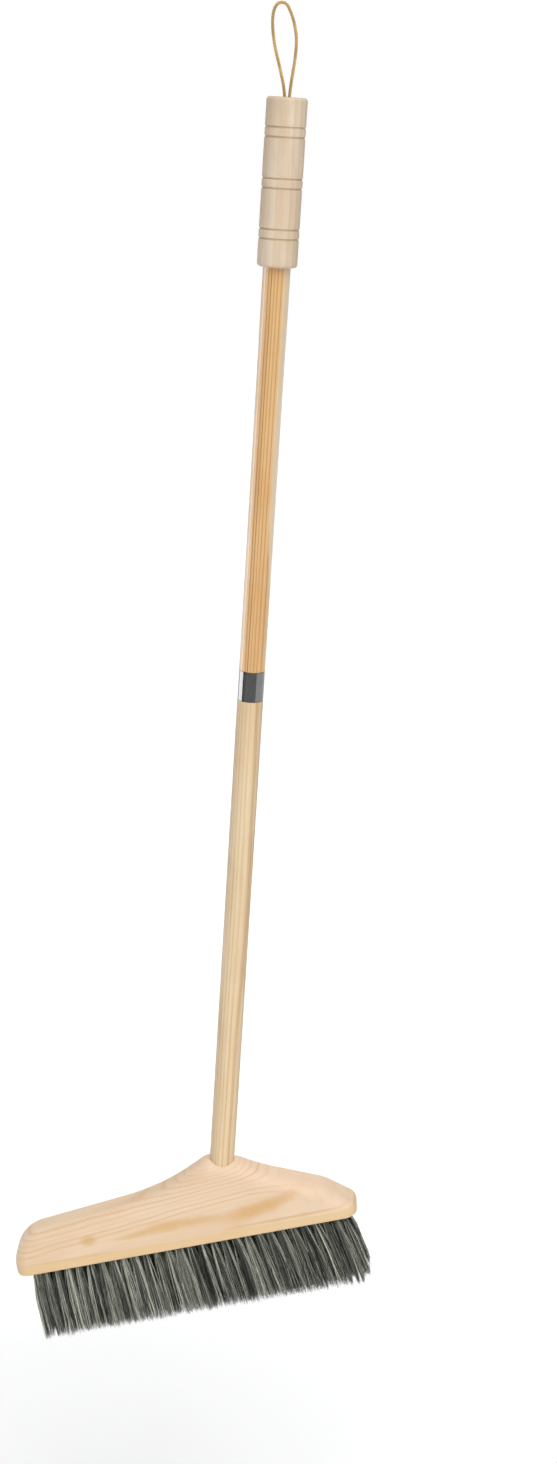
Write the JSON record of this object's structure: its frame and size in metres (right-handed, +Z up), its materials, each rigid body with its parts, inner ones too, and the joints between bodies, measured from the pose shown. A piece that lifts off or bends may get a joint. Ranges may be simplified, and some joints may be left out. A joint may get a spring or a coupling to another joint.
{
  "type": "wooden floor broom",
  "caption": "Long-handled wooden floor broom with a turned grip, cord hanging loop, two-piece pole joined by a steel ferrule, and a lopsided pine head with soft grey bristles.",
  "frame": {"origin": "inside top of the hanging loop, where a hook carries the broom", "axes": "+Z up along the pole; +X towards the short side of the head; -Y is the front"},
  "size_m": [0.2764, 0.0434, 0.9901],
  "materials": {
    "cord": "satin twisted cord",
    "grip_wood": "sanded, burned grooves",
    "lacquered_pole_wood": "clear lacquer, straight grain",
    "ferrule_steel": "polished dark steel",
    "joint_steel": "plated",
    "raw_pole_wood": "sanded raw pine",
    "head_pine": "sanded pine",
    "bristles": "mixed grey soft hair",
    "anchor_wire": "plain flat wire"
  },
  "bodies": {
    "upper_half": {"hanging_loop": "cord", "loop_knot": "cord", "grip": "grip_wood", "upper_pole": "lacquered_pole_wood", "ferrule": "ferrule_steel", "joint_insert": "joint_steel"},
    "thread_stud": {"joint_stud": "joint_steel"},
    "lower_half": {"lower_pole": "raw_pole_wood", "head_block": "head_pine", "bristle_row_1": "bristles", "bristle_row_2": "bristles", "bristle_row_3": "bristles", "bristle_row_4": "bristles", "bristle_row_5": "bristles", "anchors_row_1": "anchor_wire", "anchors_row_2": "anchor_wire", "anchors_row_3": "anchor_wire", "anchors_row_4": "anchor_wire", "anchors_row_5": "anchor_wire"}
  },
  "joints": [
    {"name": "pole_screw_travel", "type": "slide", "parent": "upper_half", "child": "thread_stud", "axis": [0, 0, -1], "range_m": [0, 0.016]},
    {"name": "pole_screw_turn", "type": "hinge", "parent": "thread_stud", "child": "lower_half", "pos_m": [0.0068, 0, -0.4539], "axis": [0, 0, 1], "range_deg": [0, 2880]}
  ],
  "couplings": [
    {"joint": "pole_screw_travel", "follows": "pole_screw_turn", "m_per_rad": 0.00031831}
  ]
}
